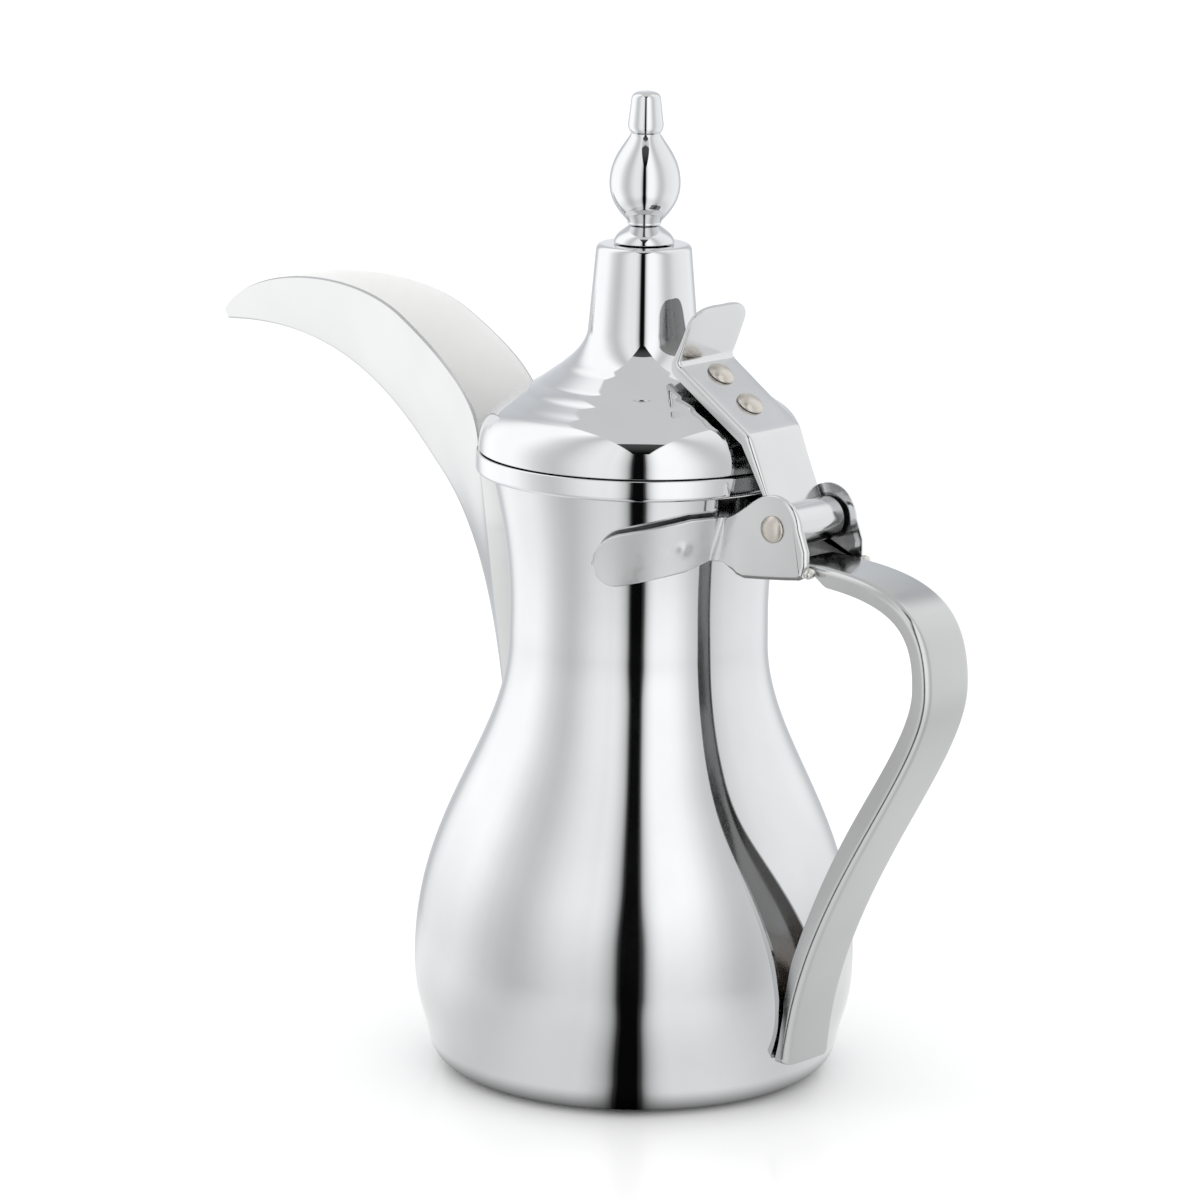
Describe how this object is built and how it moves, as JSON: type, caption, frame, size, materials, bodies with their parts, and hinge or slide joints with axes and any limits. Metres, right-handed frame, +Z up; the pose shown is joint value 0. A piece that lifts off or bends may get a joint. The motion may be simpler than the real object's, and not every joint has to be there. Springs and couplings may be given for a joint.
{
  "type": "dallah coffee pot",
  "caption": "Polished steel dallah: waisted pot with an open curved beak spout, a pressed channel handle and a hinged chimney lid with a thumb lever and a bulb finial.",
  "frame": {"origin": "centre of the flat base, on the pot's own axis", "axes": "+Z up along the pot's axis, -X towards the spout, +X towards the handle; the pot is symmetric about the XZ plane"},
  "size_m": [0.2622, 0.121, 0.27],
  "materials": {
    "polished_steel": "mirror-polished stainless steel",
    "handle_steel": "polished pressed steel, slightly softer than the pot",
    "pin_steel": "satin, warm grey, burnished heads",
    "plain_steel": "plain turned or spun inside finish",
    "braze": "weld bead, lightly polished"
  },
  "bodies": {
    "pot": {"body_shell": "polished_steel", "base_plate": "polished_steel", "rim_band": "polished_steel", "spout_shell": "polished_steel", "hinge_bracket": "handle_steel", "hinge_pin": "pin_steel", "handle_channel": "handle_steel", "handle_weld_left": "braze", "handle_weld_right": "braze", "foot_weld": "braze"},
    "lid": {"lid_shell": "polished_steel", "lid_seat_ring": "plain_steel", "lid_lever": "handle_steel", "upper_lever_rivet": "pin_steel", "lower_lever_rivet": "pin_steel", "finial_foot": "polished_steel", "finial_bulb": "polished_steel", "finial_tip": "polished_steel", "finial_stud": "plain_steel", "finial_washer": "plain_steel", "finial_nut": "plain_steel"}
  },
  "joints": [
    {"name": "lid_hinge", "type": "hinge", "parent": "pot", "child": "lid", "pos_m": [0.0564, 0, 0.1601], "axis": [0, 1, 0], "range_deg": [0, 134]}
  ]
}
